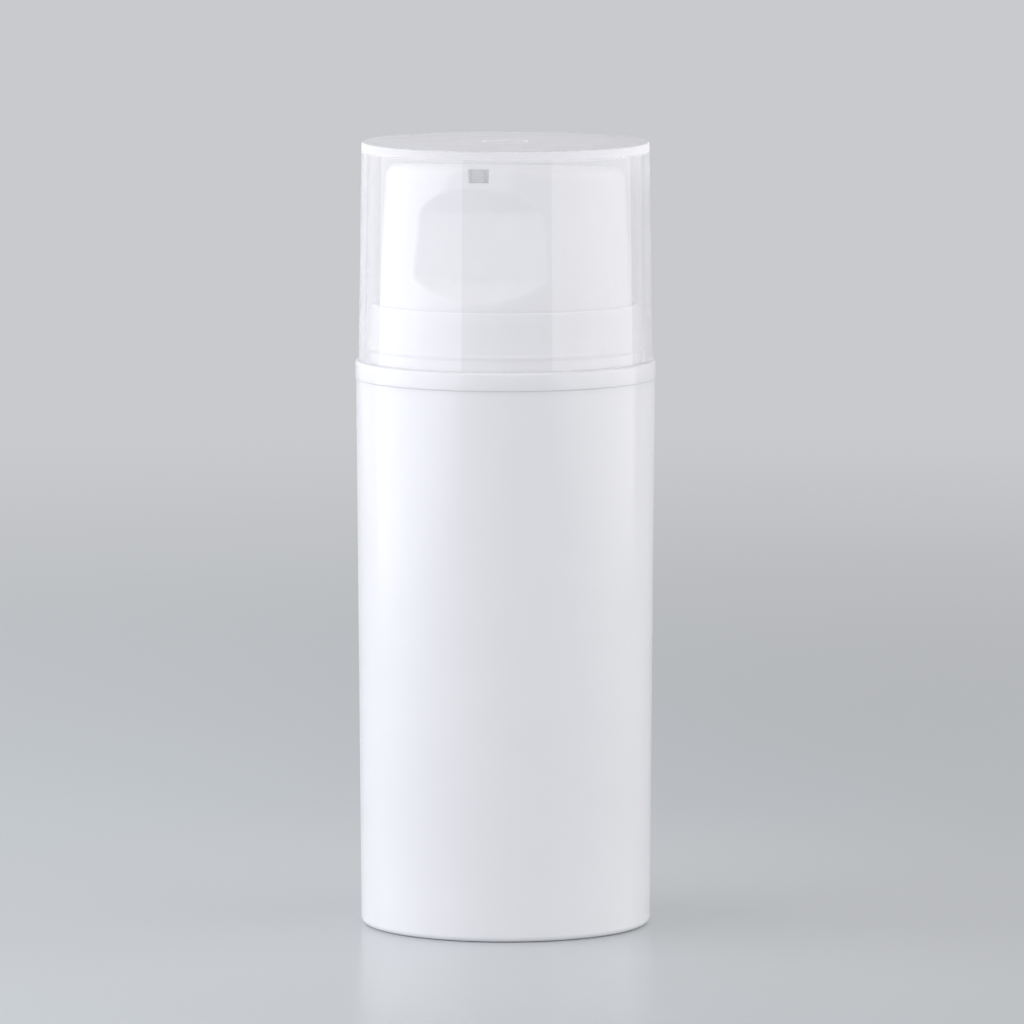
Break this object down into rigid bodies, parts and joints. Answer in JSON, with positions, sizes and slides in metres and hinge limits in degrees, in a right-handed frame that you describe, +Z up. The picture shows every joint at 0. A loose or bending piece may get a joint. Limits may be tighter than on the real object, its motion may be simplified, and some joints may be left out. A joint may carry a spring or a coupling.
{
  "type": "airless pump bottle",
  "caption": "Straight white airless pump bottle with a push button, a scooped nozzle side, a banded collar, a clear push-on overcap and a rising follower.",
  "frame": {"origin": "centre of the base circle, on the surface the bottle stands on", "axes": "+Z up along the bottle's axis; the nozzle faces -Y"},
  "size_m": [0.0462, 0.0462, 0.121],
  "materials": {
    "white_pp": "glossy moulded white polypropylene",
    "clear_cap": "clear moulded plastic, slightly hazy",
    "natural_pp": "natural moulded polypropylene",
    "piston_pe": "soft moulded polyethylene",
    "foam_gasket": "closed-cell polyethylene foam",
    "seal_rubber": "moulded nitrile rubber",
    "spring_steel": "drawn stainless wire",
    "ball_steel": "polished stainless steel"
  },
  "bodies": {
    "bottle": {"bottle_body": "white_pp", "base_plug": "white_pp", "collar": "white_pp", "neck_gasket": "foam_gasket", "pump_carrier": "natural_pp", "cylinder_seal": "seal_rubber", "pump_cylinder": "natural_pp", "cylinder_cap": "natural_pp", "ball_cage": "natural_pp", "return_spring": "spring_steel"},
    "cap": {"overcap": "clear_cap"},
    "plunger": {"stem": "natural_pp", "stem_tip": "natural_pp"},
    "button": {"actuator_shell": "white_pp", "actuator_core": "natural_pp"},
    "piston": {"pump_piston": "piston_pe"},
    "ball": {"inlet_ball": "ball_steel"},
    "follower": {"follower_piston": "piston_pe"}
  },
  "joints": [
    {"name": "cap_lift", "type": "slide", "parent": "bottle", "child": "cap", "axis": [0, 0, 1], "range_m": [0, 0.04]},
    {"name": "press", "type": "slide", "parent": "bottle", "child": "plunger", "axis": [0, 0, -1], "range_m": [0, 0.005], "stiffness_N_per_m": 2000, "springref_m": -0.003, "deforming": ["return_spring"]},
    {"name": "button_turn", "type": "hinge", "parent": "plunger", "child": "button", "pos_m": [0, 0, 0.11], "axis": [0, 0, 1], "continuous": true},
    {"name": "piston_slip", "type": "slide", "parent": "plunger", "child": "piston", "axis": [0, 0, 1], "range_m": [0, 0.0008]},
    {"name": "inlet_ball_lift", "type": "slide", "parent": "bottle", "child": "ball", "axis": [0, 0, 1], "range_m": [0, 0.0008]},
    {"name": "follower_rise", "type": "slide", "parent": "bottle", "child": "follower", "axis": [0, 0, 1], "range_m": [0, 0.0694]}
  ]
}
